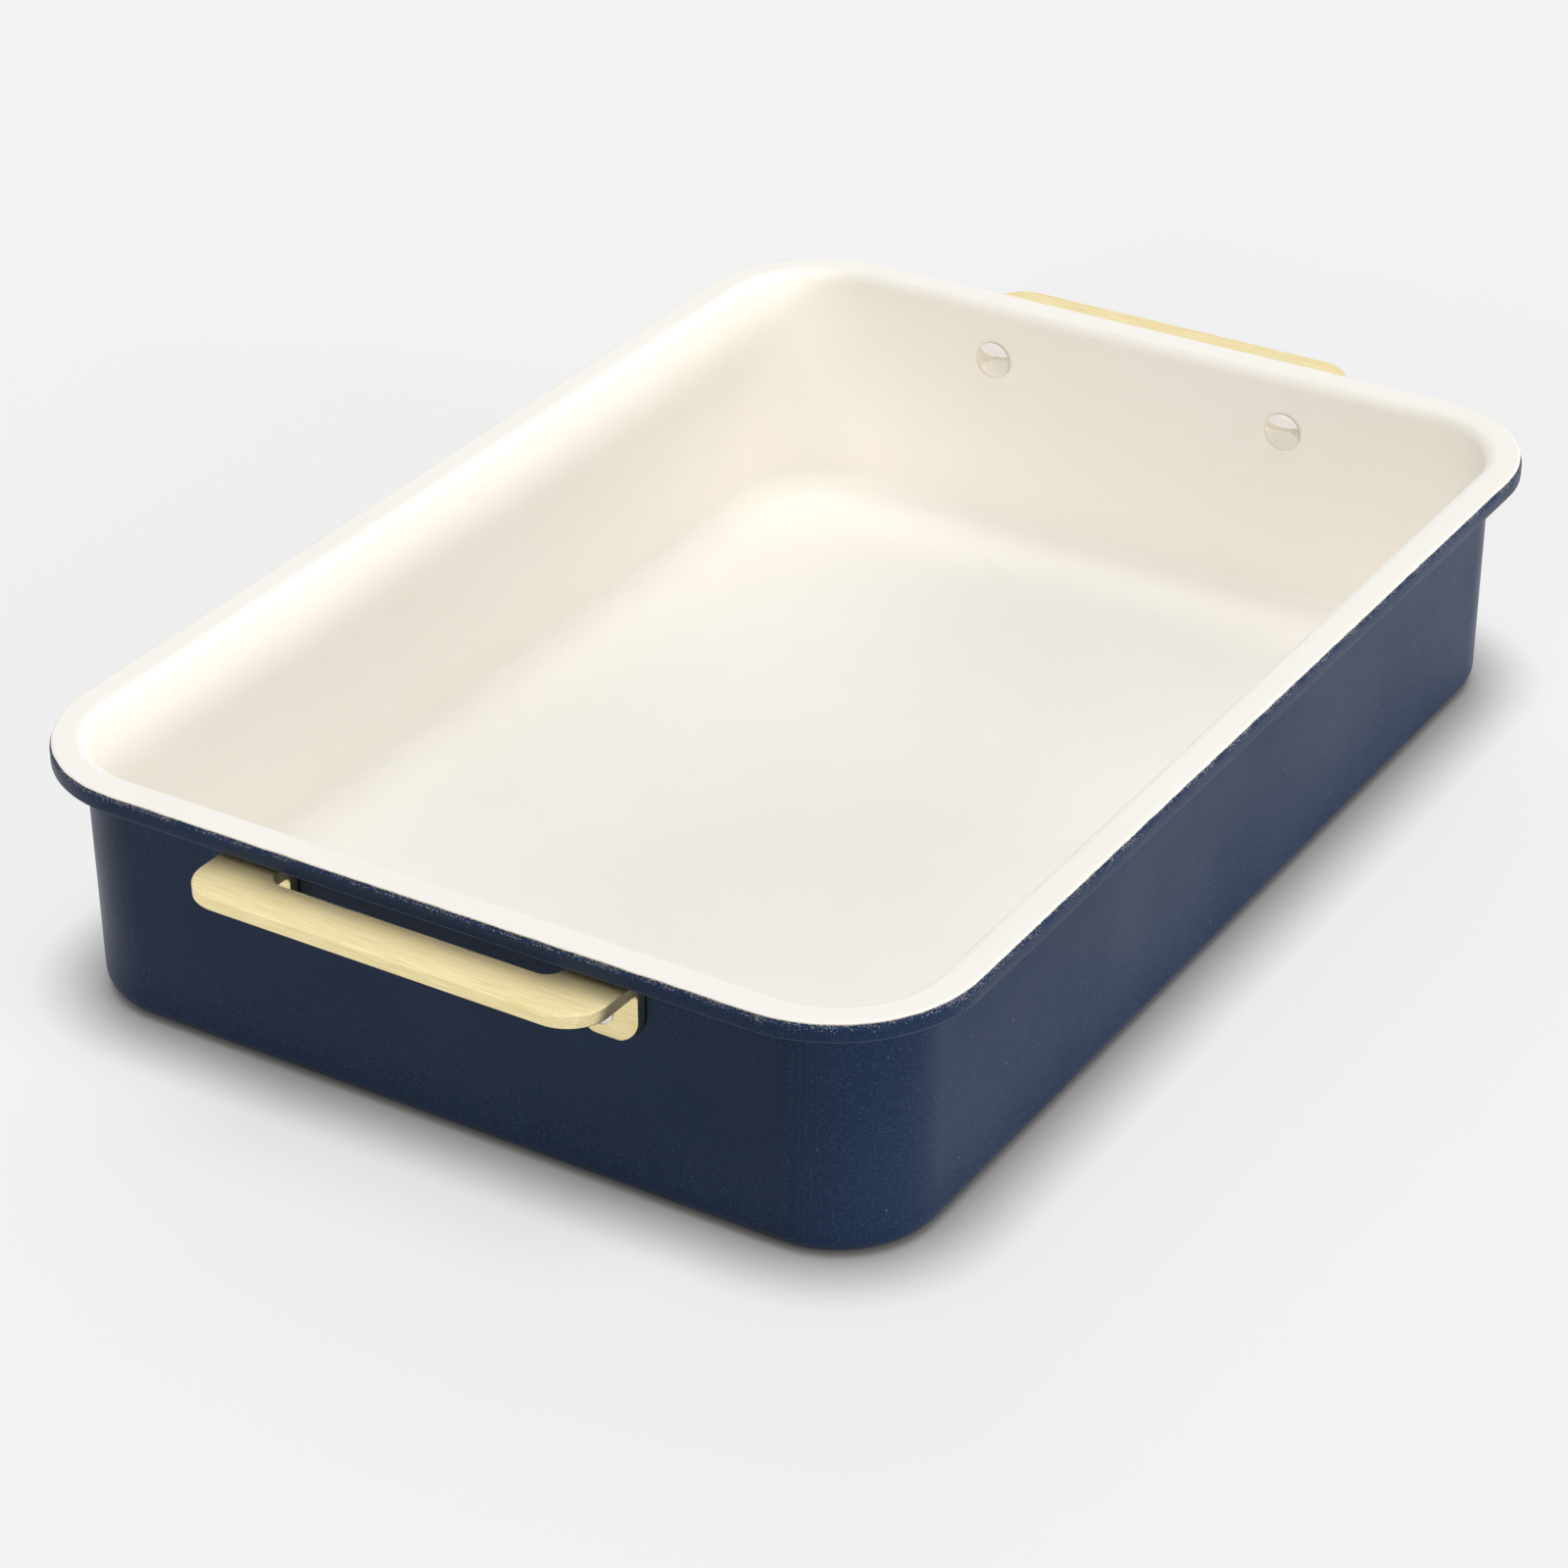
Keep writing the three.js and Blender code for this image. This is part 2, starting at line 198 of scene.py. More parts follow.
# The sky's own light is warm and comes from low down. What is seen of it is nearly white
white = (1.0, 1.0, 1.0)
warm = (1.0, 0.95, 0.86)
cool = (0.98, 1.0, 1.03)
sky_light = {"low": 0.28, "high": 0.0}
sky_shown = {"low": 0.97, "high": 1.1}
sky_turn = {"low": 0.4, "high": 0.7}
sky = bpy.data.worlds.new("sky")
scene.world = sky
sky.use_nodes = True
tree = sky.node_tree
upwards = add_node(
    tree,
    "ShaderNodeSeparateXYZ",
    Vector=add_node(tree, "ShaderNodeTexCoord").outputs["Generated"],
).outputs["Z"]
light_and_shown = [
    add_node(
        tree,
        "ShaderNodeMapRange",
        {"interpolation_type": "SMOOTHSTEP"},
        Value=upwards,
        From_Min=sky_turn["low"],
        From_Max=sky_turn["high"],
        To_Min=level["low"],
        To_Max=level["high"],
    ).outputs["Result"]
    for level in (sky_light, sky_shown)
]
brightness = add_node(
    tree,
    "ShaderNodeMapRange",
    Value=seen_rays(tree),
    To_Min=light_and_shown[0],
    To_Max=light_and_shown[1],
)
tree.links.new(brightness.outputs["Result"], tree.nodes["Background"].inputs["Strength"])
sky_colour = blend(tree, seen_rays(tree), warm, white)
tree.links.new(sky_colour, tree.nodes["Background"].inputs["Color"])

new_lamp("top_lamp", azimuth=0, elevation=87, spread=35, light=0.52, colour=cool)
new_lamp("back_lamp", azimuth=125, elevation=38, spread=36, light=0.26, colour=white)
new_lamp("front_lamp", azimuth=-90, elevation=16, spread=14, light=0.26, colour=warm)
new_lamp("right_lamp", azimuth=0, elevation=20, spread=14, light=0.25, colour=warm)
new_lamp("side_lamp", azimuth=5, elevation=3, spread=6, light=0.42, colour=white)


# Pan body: one sheet of steel, deep drawn into a tray with a flat rim whose edge
# turns down. Outside it is sprayed with a satin navy coat that has a fine sparkle.
body_low, body_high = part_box("pan_body")
rim_length = body_high.x - body_low.x
rim_width = body_high.y - body_low.y
steel_top = body_high.z
steel_thickness = 0.9 * mm
lip_bottom = 62.9 * mm
rim_overhang = 8.65 * mm
rim_corner_radius = 36.8 * mm
wall_corner_radius = 26.5 * mm
lip_bend_radius = 1.4 * mm
rim_bend_radius = 2.75 * mm
base_bend_radius = 4.5 * mm
wall_draft = math.radians(0.3)
cut_edge_radius = 0.3 * mm
edge_support = 1.0 * mm
bend_steps = 8
corner_steps = 24
quarter = math.pi / 2

# The section's points are (inset from the rim's outer face, height)
lip_centre = Vector((lip_bend_radius, steel_top - lip_bend_radius))
rim_centre = Vector(
    (rim_overhang + steel_thickness - rim_bend_radius, steel_top - rim_bend_radius)
)
wall_normal = Vector((math.cos(wall_draft), math.sin(wall_draft)))
wall_down = Vector((math.sin(wall_draft), -math.cos(wall_draft)))
base_centre = rim_centre + wall_normal * (rim_bend_radius + base_bend_radius)
base_drop = base_centre.y - steel_thickness - base_bend_radius
base_centre += wall_down * (base_drop / math.cos(wall_draft))


def arc(centre, radius, start, end, steps=bend_steps):
    """Points along a part of a circle, from one angle to another."""
    angles = [start + (end - start) * step / steps for step in range(steps + 1)]
    return [centre + radius * Vector((math.cos(a), math.sin(a))) for a in angles]


def joined(*stretches):
    """Arcs joined by straight stretches, each with a point close to either end to keep it flat."""
    points = list(stretches[0])
    for stretch in stretches[1:]:
        along = stretch[0] - points[-1]
        if along.length > 3 * edge_support:
            ease = along.normalized() * edge_support
            points += [points[-1] + ease, stretch[0] - ease]
        points += stretch
    return points


def sheet_face(offset, lip_wrap):
    """The section's line on one face of the sheet, from the base to the lip."""
    return joined(
        [Vector((base_centre.x + edge_support, steel_thickness + offset))],
        arc(base_centre, offset - base_bend_radius, quarter, wall_draft),
        arc(rim_centre, rim_bend_radius + offset, wall_draft, quarter),
        arc(lip_centre, lip_bend_radius + offset, quarter, quarter + lip_wrap),
    )


def corner_radius(inset):
    """In plan the corners close from the rim's radius to the wall's across the flange."""
    past_wall = inset - rim_overhang
    if past_wall > 0:
        return wall_corner_radius - past_wall
    return wall_corner_radius - past_wall * (rim_corner_radius - wall_corner_radius) / rim_overhang


def plan_columns(run_step):
    """Columns round the pan: (corner, angle, share of the straight run to the next corner)."""
    columns = []
    for corner in range(4):
        run = (rim_width, rim_length)[(corner + 1) % 2]
        run_steps = max(1, round((run - 2 * rim_corner_radius) / run_step))
        turns = [(corner + step / corner_steps) * quarter for step in range(corner_steps)]
        columns += [(corner, angle, 0) for angle in turns]
        end = (corner + 1) * quarter
        columns += [(corner, end, step / run_steps) for step in range(run_steps)]
    return columns


def plan_point(column, point):
    """Where a point of the section lies on one column."""
    corner, angle, share = column
    inset, height = point
    radius = corner_radius(inset)
    run = []
    for sign_x, sign_y in (corner_signs[corner], corner_signs[(corner + 1) % 4]):
        x = sign_x * (rim_length / 2 - inset - radius) + radius * math.cos(angle)
        y = sign_y * (rim_width / 2 - inset - radius) + radius * math.sin(angle)
        run.append(Vector((x, y, height)))
    return run[0].lerp(run[1], share)


def skin(name, loops, material):
    """An object from a row of closed loops of equal length, with its two ends closed."""
    sides = len(loops[0])
    faces = []
    for row in range(len(loops) - 1):
        for side in range(sides):
            here, there = row * sides, (row + 1) * sides
            following = (side + 1) % sides
            faces.append((here + side, there + side, there + following, here + following))
    last = (len(loops) - 1) * sides
    faces.append(tuple(range(sides)))
    faces.append(tuple(reversed(range(last, last + sides))))
    mesh = bpy.data.meshes.new(name)
    mesh.from_pydata([point for loop in loops for point in loop], [], faces)
    mesh.materials.append(material)
    piece = bpy.data.objects.new(name, mesh)
    scene.collection.objects.link(piece)
    return piece


def finished(piece, sharp_angle=math.radians(40)):
    """Replaces an object's mesh by its evaluated one, with outward faces and smooth bends."""
    graph = bpy.context.evaluated_depsgraph_get()
    mesh = bpy.data.meshes.new_from_object(piece.evaluated_get(graph))
    piece.modifiers.clear()
    piece.data = mesh
    mesh.name = piece.name
    work = bmesh.new()
    work.from_mesh(mesh)
    bmesh.ops.remove_doubles(work, verts=work.verts, dist=0.001 * mm)
    bmesh.ops.recalc_face_normals(work, faces=work.faces)
    work.to_mesh(mesh)
    work.free()
    mesh.shade_smooth()
    mesh.set_sharp_from_angle(angle=sharp_angle)
    return piece


def drilled(piece):
    """Cuts the rivet holes out of a piece."""
    cut = piece.modifiers.new("rivet_holes", "BOOLEAN")
    cut.operation = "DIFFERENCE"
    cut.solver = "EXACT"
    cut.object = rivet_drill
    return finished(piece)


corner_signs = [(1, 1), (-1, 1), (-1, -1), (1, -1)]
ends = {"rear": 1, "front": -1}
rivet_nodes = [f"rivet_{end}_{side}" for end in ends for side in ("left", "right")]
hole_radius = 1.95 * mm
hole_length = 20 * mm
drill = bmesh.new()
for node in rivet_nodes:
    low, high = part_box(node)
    bmesh.ops.create_cone(
        drill,
        cap_ends=True,
        segments=32,
        radius1=hole_radius,
        radius2=hole_radius,
        depth=hole_length,
        matrix=Matrix.Translation((low + high) / 2) @ Matrix.Rotation(quarter, 4, "Y"),
    )
drill_mesh = bpy.data.meshes.new("rivet_drill")
drill.to_mesh(drill_mesh)
drill.free()
rivet_drill = bpy.data.objects.new("rivet_drill", drill_mesh)
scene.collection.objects.link(rivet_drill)


def new_group(kind, name, inputs, outputs):
    """A node group with named sockets, its group input node and its group output node."""
    tree = bpy.data.node_groups.new(name, kind)
    for direction, sockets in (("INPUT", inputs), ("OUTPUT", outputs)):
        for label, socket_kind in sockets.items():
            tree.interface.new_socket(label, in_out=direction, socket_type=socket_kind)
    return tree, tree.nodes.new("NodeGroupInput"), tree.nodes.new("NodeGroupOutput")


def use_group(tree, group, **inputs):
    """A shader node group placed in a material with its own values."""
    return add_node(tree, "ShaderNodeGroup", {"node_tree": group}, **inputs).outputs


def between(tree, value, low, high, from_low=0.0, from_high=1.0):
    """A value taken from one range to another."""
    return add_node(
        tree,
        "ShaderNodeMapRange",
        Value=value,
        From_Min=from_low,
        From_Max=from_high,
        To_Min=low,
        To_Max=high,
    ).outputs["Result"]


# Specks: round dots, one in some of the cells of a random pattern
specks, given, result = new_group(
    "ShaderNodeTree",
    "sprayed_specks",
    {
        "Vector": "NodeSocketVector",
        "Scale": "NodeSocketFloat",
        "Share": "NodeSocketFloat",
        "Size": "NodeSocketFloat",
    },
    {"Mask": "NodeSocketFloat"},
)
cells = add_node(
    specks, "ShaderNodeTexVoronoi", Vector=given.outputs["Vector"], Scale=given.outputs["Scale"]
)
draw = add_node(specks, "ShaderNodeSeparateColor", Color=cells.outputs["Color"])
chosen = calculate(specks, "LESS_THAN", draw.outputs["Red"], given.outputs["Share"])
dot = between(specks, cells.outputs["Distance"], 1.0, 0.0, from_high=given.outputs["Size"])
strength = between(specks, draw.outputs["Green"], 0.3, 1.0)
mask = calculate(specks, "MULTIPLY", calculate(specks, "MULTIPLY", chosen, dot), strength)
specks.links.new(mask, result.inputs["Mask"])

# Peel: the fine waves that a sprayed coat dries in, and a slow change of tone
peel, given, result = new_group(
    "ShaderNodeTree",
    "sprayed_peel",
    {"Vector": "NodeSocketVector", "Scale": "NodeSocketFloat"},
    {"Height": "NodeSocketFloat", "Tone": "NodeSocketFloat"},
)
waves = add_node(
    peel,
    "ShaderNodeTexNoise",
    Vector=given.outputs["Vector"],
    Scale=given.outputs["Scale"],
    Detail=2.0,
)
slow = add_node(
    peel,
    "ShaderNodeTexNoise",
    Vector=given.outputs["Vector"],
    Scale=calculate(peel, "MULTIPLY", given.outputs["Scale"], 0.02),
    Detail=3.0,
)
peel.links.new(waves.outputs["Fac"], result.inputs["Height"])
peel.links.new(slow.outputs["Fac"], result.inputs["Tone"])

# Navy coat: dark blue with a fine sparkle and a few brighter specks. Close under the edge
# of the cream coat it carries flecks of that spray.
navy = linear(32, 52, 84)
navy_deep = linear(26, 44, 73)
sparkle_colour = linear(88, 106, 134)
bright_speck = linear(170, 182, 200)
fleck_colour = linear(226, 222, 214)
coat_wrap = math.radians(28)
coat_edge = lip_centre.y + lip_bend_radius * math.cos(coat_wrap)
ragged_depth = 0.12 * mm
fleck_depth = 2.2 * mm
# Painted highlight: a paler blue along the lip's bottom edge, in a thin band of this height
painted_edge_highlight = linear(104, 116, 136)
edge_highlight_height = 0.45 * mm
navy_coat = new_material("navy_coat")
tree = navy_coat.node_tree
place = add_node(tree, "ShaderNodeTexCoord").outputs["Object"]
sprayed = use_group(tree, peel, Vector=place, Scale=1400.0)
sparkle = use_group(tree, specks, Vector=place, Scale=2600.0, Share=0.4, Size=0.5)["Mask"]
bright = use_group(tree, specks, Vector=place, Scale=420.0, Share=0.07, Size=0.12)["Mask"]
height = add_node(tree, "ShaderNodeSeparateXYZ", Vector=place).outputs["Z"]
on_lip = add_node(tree, "ShaderNodeAttribute", {"attribute_name": "on_lip"}).outputs["Fac"]
outside = calculate(tree, "GREATER_THAN", on_lip, 0.5)
patchy = add_node(tree, "ShaderNodeTexNoise", Vector=place, Scale=90.0, Detail=2.0).outputs["Fac"]
near_edge = between(tree, height, 0.0, 1.0, coat_edge - fleck_depth, coat_edge)
fleck_share = calculate(
    tree,
    "MULTIPLY",
    calculate(tree, "MULTIPLY", near_edge, near_edge),
    between(tree, patchy, 0.1, 1.0, 0.4, 0.6),
)
flecks = use_group(tree, specks, Vector=place, Scale=3200.0, Share=fleck_share, Size=0.6)["Mask"]
ragged = add_node(tree, "ShaderNodeTexNoise", Vector=place, Scale=2600.0, Detail=2.0).outputs["Fac"]
ragged_edge = between(tree, ragged, coat_edge + ragged_depth, coat_edge - ragged_depth, 0.3, 0.7)
cream_mask = calculate(
    tree, "MAXIMUM", flecks, calculate(tree, "GREATER_THAN", height, ragged_edge)
)
# Painted highlight on the lip's bottom edge, fading out upwards over the thin band
edge_highlight_share = between(tree, height, 0.75, 0.0, lip_bottom, lip_bottom + edge_highlight_height)
navy_colour = blend(tree, sprayed["Tone"], navy, navy_deep)
navy_colour = blend(tree, sparkle, navy_colour, sparkle_colour)
navy_colour = blend(tree, bright, navy_colour, bright_speck)
navy_colour = blend(tree, calculate(tree, "MULTIPLY", edge_highlight_share, outside), navy_colour, painted_edge_highlight)
navy_colour = blend(tree, calculate(tree, "MULTIPLY", cream_mask, outside), navy_colour, fleck_colour)
coat_bump = add_node(
    tree, "ShaderNodeBump", Height=sprayed["Height"], Strength=0.3, Distance=0.03 * mm
)
navy_shader = add_node(
    tree,
    "ShaderNodeBsdfPrincipled",
    Base_Color=navy_colour,
    Roughness=between(tree, sprayed["Tone"], 0.32, 0.42, 0.3, 0.7),
    Specular_IOR_Level=0.15,
    Normal=coat_bump.outputs["Normal"],
)
surface(navy_coat, navy_shader)

columns = plan_columns(run_step=40 * mm)
cut_steps = 3
cut_height = lip_bottom + cut_edge_radius
cut_outer = Vector((cut_edge_radius, cut_height))
cut_inner = Vector((steel_thickness - cut_edge_radius, cut_height))
cut_upper = arc(cut_outer, cut_edge_radius, 2 * quarter, 3 * quarter, cut_steps)
cut_lower = arc(cut_inner, cut_edge_radius, 3 * quarter, 4 * quarter, cut_steps)
upper_face = joined(sheet_face(0, quarter), cut_upper)
lower_face = joined(sheet_face(-steel_thickness, quarter), list(reversed(cut_lower)))
section = upper_face + list(reversed(lower_face))
pan_body = skin(
    "pan_body_pressed",
    [[plan_point(column, point) for column in columns] for point in section],
    navy_coat,
)
drilled(pan_body)

# The lip's outer face is marked, for the flecks and the painted highlight along its bottom edge there
lip_face_depth = 0.8 * lip_bend_radius
lip_mark = pan_body.data.attributes.new("on_lip", "FLOAT", "POINT")
for vertex in pan_body.data.vertices:
    over_x = max(abs(vertex.co.x) - rim_length / 2 + rim_corner_radius, 0)
    over_y = max(abs(vertex.co.y) - rim_width / 2 + rim_corner_radius, 0)
    from_rim = rim_corner_radius - math.hypot(over_x, over_y)
    lip_mark.data[vertex.index].value = from_rim < lip_face_depth
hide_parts("pan_body")
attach(pan_body, "root")


# Ceramic lining: a sprayed cream non-stick coat over the floor, the walls and the rim,
# baked on. It ends on the lip's bend, in a line that wanders a little.
lining_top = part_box("ceramic_lining")[1].z
ceramic_thickness = 0.4 * mm
coat_outer = lining_top - steel_top
coat_inner = coat_outer - ceramic_thickness
wander_angle = math.radians(5)
wander_length = 5 * mm
coat_step = 1.5 * mm

cream = linear(252, 249, 243)
cream_deep = linear(250, 246, 239)
tan_speck = linear(228, 216, 194)
cream_ceramic = new_material("cream_ceramic")
tree = cream_ceramic.node_tree
place = add_node(tree, "ShaderNodeTexCoord").outputs["Object"]
sprayed = use_group(tree, peel, Vector=place, Scale=800.0)
fine_specks = use_group(tree, specks, Vector=place, Scale=500.0, Share=0.1, Size=0.14)["Mask"]
cream_colour = blend(tree, between(tree, sprayed["Tone"], 0.0, 1.0, 0.3, 0.7), cream, cream_deep)
cream_colour = blend(tree, fine_specks, cream_colour, tan_speck)
peel_bump = add_node(
    tree, "ShaderNodeBump", Height=sprayed["Height"], Strength=0.25, Distance=0.03 * mm
)
cream_shader = add_node(
    tree,
    "ShaderNodeBsdfPrincipled",
    Base_Color=cream_colour,
    Roughness=between(tree, sprayed["Tone"], 0.34, 0.44, 0.3, 0.7),
    Specular_IOR_Level=0.4,
    Normal=peel_bump.outputs["Normal"],
)
surface(cream_ceramic, cream_shader)


def coat_section(column):
    """The coat's section on one column, with the place where its edge wanders to."""
    on_rim = plan_point(column, Vector((0, 0)))
    wrap = coat_wrap + wander_angle * noise.noise(on_rim / wander_length)
    return sheet_face(coat_outer, wrap) + list(reversed(sheet_face(coat_inner, wrap)))


columns = plan_columns(coat_step)
sections = [coat_section(column) for column in columns]
ceramic_lining = skin(
    "ceramic_lining_sprayed",
    [
        [plan_point(column, section[row]) for column, section in zip(columns, sections)]
        for row in range(len(sections[0]))
    ],
    cream_ceramic,
)
drilled(ceramic_lining)
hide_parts("ceramic_lining")
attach(ceramic_lining, "root")


# Handles: a strap of gold-coloured steel sheet, cut like a wide U, brushed along its length,
# and folded once, so that two legs lie on the end wall and the grip stands out under the lip.
handle_low, handle_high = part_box("rear_handle")
handle_length = handle_high.y - handle_low.y
grip_reach = 16.19 * mm
handle_thickness = 3.5 * mm
handle_edge_radius = 0.55 * mm
handle_fold_radius = 1.5 * mm
handle_seat_gap = 0.2 * mm
grip_width = 13.2 * mm
grip_tilt = math.radians(2)
grip_below_lip = 1.2 * mm
grip_corner_radius = 10.5 * mm
slot_corner_radius = 4.5 * mm
leg_width = 16.6 * mm
leg_bottom = handle_low.z
leg_corner_radius = 6.5 * mm
fold_steps = 12
grip_corner_steps = 16
leg_end_steps = 10
edge_steps = 5

# Brushing: long fine scratches, stretched along one direction
brushing, given, result = new_group(
    "ShaderNodeTree",
    "brushed_lines",
    {"Vector": "NodeSocketVector", "Stretch": "NodeSocketVector", "Scale": "NodeSocketFloat"},
    {"Lines": "NodeSocketFloat"},
)
stretched = add_node(brushing, "ShaderNodeVectorMath", {"operation": "MULTIPLY"})
brushing.links.new(given.outputs["Vector"], stretched.inputs[0])
brushing.links.new(given.outputs["Stretch"], stretched.inputs[1])
scratches = add_node(
    brushing,
    "ShaderNodeTexNoise",
    Vector=stretched.outputs["Vector"],
    Scale=given.outputs["Scale"],
    Detail=4.0,
    Roughness=0.7,
)
brushing.links.new(scratches.outputs["Fac"], result.inputs["Lines"])

gold = linear(252, 239, 193)
gold_deep = linear(236, 216, 156)
satin_gold = new_material("satin_gold")
tree = satin_gold.node_tree
place = add_node(tree, "ShaderNodeTexCoord").outputs["Object"]
lines = use_group(tree, brushing, Vector=place, Stretch=(1, 0.03, 1), Scale=2800.0)["Lines"]
gold_colour = blend(tree, between(tree, lines, 0.0, 1.0, 0.35, 0.65), gold, gold_deep)
brush_bump = add_node(tree, "ShaderNodeBump", Height=lines, Strength=0.2, Distance=0.01 * mm)
across_lines = add_node(tree, "ShaderNodeTangent", {"direction_type": "RADIAL", "axis": "Y"})
gold_shader = add_node(
    tree,
    "ShaderNodeBsdfPrincipled",
    Base_Color=gold_colour,
    Metallic=1.0,
    Roughness=between(tree, lines, 0.28, 0.44, 0.3, 0.7),
    Anisotropic=0.8,
    Tangent=across_lines.outputs["Tangent"],
    Normal=brush_bump.outputs["Normal"],
)
surface(satin_gold, gold_shader)


def end_wall(height, offset):
    """A point of the end wall's section, as (reach past the lip, height)."""
    face = rim_centre + wall_normal * (rim_bend_radius + offset)
    face += wall_down * ((face.y - height) / math.cos(wall_draft))
    return Vector((-face.x, face.y))


def heading(angle):
    """The direction along the strap where it leans at an angle."""
    return Vector((math.cos(angle), math.sin(angle)))


def sheet_back(angle):
    """The direction square to the strap, towards the fold's outer side."""
    return Vector((-math.sin(angle), math.cos(angle)))


def crossed(a, b):
    """The cross product of two flat vectors."""
    return a.x * b.y - a.y * b.x


fold_radius = handle_fold_radius + handle_thickness / 2
leg_heading = quarter - wall_draft
fold_length = (leg_heading - grip_tilt) * fold_radius
leg_middle = -steel_thickness - handle_seat_gap - handle_thickness / 2
on_leg = end_wall(leg_bottom, leg_middle) - sheet_back(leg_heading) * fold_radius
grip_top = Vector((0, lip_bottom - grip_below_lip))
on_grip = grip_top - sheet_back(grip_tilt) * (handle_thickness / 2 + fold_radius)
rise = crossed(on_grip - on_leg, heading(grip_tilt))
rise /= crossed(heading(leg_heading), heading(grip_tilt))
fold_centre = on_leg + heading(leg_heading) * rise


def on_fold(along, lift):
    """A point of the fold, at a length along it and a height over the strap's middle."""
    angle = leg_heading - along / fold_radius
    return fold_centre + sheet_back(angle) * (fold_radius + lift)


def folded(along, across, lift):
    """Where a point of the flat strap lies once it is folded, at the rear end of the pan."""
    at_fold = min(max(along, 0), fold_length)
    angle = leg_heading - at_fold / fold_radius
    reach, height = on_fold(at_fold, lift) + heading(angle) * (along - at_fold)
    return Vector((rim_length / 2 + reach, across, height))


def rounded_inset(rise, radius):
    """How far a rounded end stands back at a height above its tip."""
    below = max(radius - rise, 0)
    return radius - math.sqrt(radius * radius - below * below)


def end_rises(radius, steps):
    """Heights above the tip of a rounded end, closer together near the tip."""
    return [radius * (1 - math.cos(quarter * step / steps)) for step in range(steps + 1)]


def strap_stations():
    """Stations along one half of the strap: inner and outer edge as (along, across), half thickness."""
    outer = handle_length / 2
    inner = outer - leg_width
    half = handle_thickness / 2
    grip_root = on_fold(fold_length, 0).x
    grip_edge = fold_length + (grip_reach - grip_root) / math.cos(grip_tilt)
    slot_edge = grip_edge - grip_width
    leg_end = (leg_bottom - on_fold(0, 0).y) / math.cos(wall_draft)

    stations = []
    rises = end_rises(handle_edge_radius, edge_steps)
    leg_rises = end_rises(leg_corner_radius, leg_end_steps)
    rises += [rise for rise in leg_rises if rise > 1.2 * handle_edge_radius]
    for rise in rises:
        pinch = rounded_inset(rise, leg_corner_radius)
        thin = half - rounded_inset(rise, handle_edge_radius)
        stations.append(((leg_end + rise, inner + pinch), (leg_end + rise, outer - pinch), thin))
    stations.append(((-edge_support, inner), (-edge_support, outer), half))
    for step in range(fold_steps + 1):
        along = fold_length * step / fold_steps
        stations.append(((along, inner), (along, outer), half))
    for step in range(grip_corner_steps + 1):
        angle = quarter * (1 - step / grip_corner_steps)
        turn = Vector((math.cos(angle), math.sin(angle)))
        slot_middle = Vector((slot_edge - slot_corner_radius, inner - slot_corner_radius))
        grip_middle = Vector((grip_edge - grip_corner_radius, outer - grip_corner_radius))
        slot_point = slot_middle + turn * slot_corner_radius
        grip_point = grip_middle + turn * grip_corner_radius
        stations.append((slot_point, grip_point, half))
    return stations


def strap_loop(station, side):
    """The loop round the strap at one station, with its edges rounded."""
    inner, outer, half = Vector(station[0]), Vector(station[1]), station[2]
    width = (outer - inner).length
    radius = handle_edge_radius
    far, near, lift = width - radius, radius, half - radius
    loop = []
    middles = ((far, lift), (near, lift), (near, -lift), (far, -lift))
    for corner, (middle, height) in enumerate(middles):
        for step in range(edge_steps + 1):
            angle = (corner + step / edge_steps) * quarter
            share = (middle + radius * math.cos(angle)) / width
            along, across = inner.lerp(outer, share)
            loop.append(folded(along, side * across, height + radius * math.sin(angle)))
    return loop


half_strap = strap_stations()
strap = [strap_loop(station, -1) for station in half_strap]
strap += [strap_loop(station, 1) for station in reversed(half_strap)]
for end, sign in ends.items():
    loops = [[Vector((sign * x, sign * y, z)) for x, y, z in loop] for loop in strap]
    handle = skin(f"{end}_handle_folded", loops, satin_gold)
    drilled(handle)
    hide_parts(f"{end}_handle")
    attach(handle, "root")
bpy.data.objects.remove(rivet_drill)


# Rivets: polished stainless steel, two for each handle. The dome is inside the pan,
# and the shank is closed into a low head over the handle's leg.
steel = linear(238, 234, 226)
steel_deep = linear(226, 221, 212)
bright_steel = new_material("bright_steel")
tree = bright_steel.node_tree
place = add_node(tree, "ShaderNodeTexCoord").outputs["Object"]
polish = use_group(tree, brushing, Vector=place, Stretch=(0.2, 1, 1), Scale=2500.0)["Lines"]
steel_colour = blend(tree, polish, steel, steel_deep)
steel_shader = add_node(
    tree,
    "ShaderNodeBsdfPrincipled",
    Base_Color=steel_colour,
    Metallic=1.0,
    Roughness=between(tree, polish, 0.06, 0.16, 0.3, 0.7),
)
surface(bright_steel, steel_shader)

# One head: a disc whose top bulges like a cap of a ball
head_tree, given, result = new_group(
    "GeometryNodeTree",
    "rivet_head",
    {"Diameter": "NodeSocketFloat", "Height": "NodeSocketFloat", "Rim": "NodeSocketFloat"},
    {"Geometry": "NodeSocketGeometry"},
)
radius = calculate(head_tree, "MULTIPLY", given.outputs["Diameter"], 0.5)
crown = calculate(head_tree, "SUBTRACT", given.outputs["Height"], given.outputs["Rim"])
radius_squared = calculate(head_tree, "MULTIPLY", radius, radius)
crown_squared = calculate(head_tree, "MULTIPLY", crown, crown)
ball = calculate(
    head_tree,
    "DIVIDE",
    calculate(head_tree, "ADD", radius_squared, crown_squared),
    calculate(head_tree, "MULTIPLY", crown, 2.0),
)
disc = add_node(
    head_tree,
    "GeometryNodeMeshCylinder",
    Vertices=48,
    Fill_Segments=12,
    Radius=radius,
    Depth=given.outputs["Rim"],
)
at = add_node(
    head_tree,
    "ShaderNodeSeparateXYZ",
    Vector=add_node(head_tree, "GeometryNodeInputPosition").outputs["Position"],
)
away_squared = calculate(
    head_tree,
    "ADD",
    calculate(head_tree, "MULTIPLY", at.outputs["X"], at.outputs["X"]),
    calculate(head_tree, "MULTIPLY", at.outputs["Y"], at.outputs["Y"]),
)
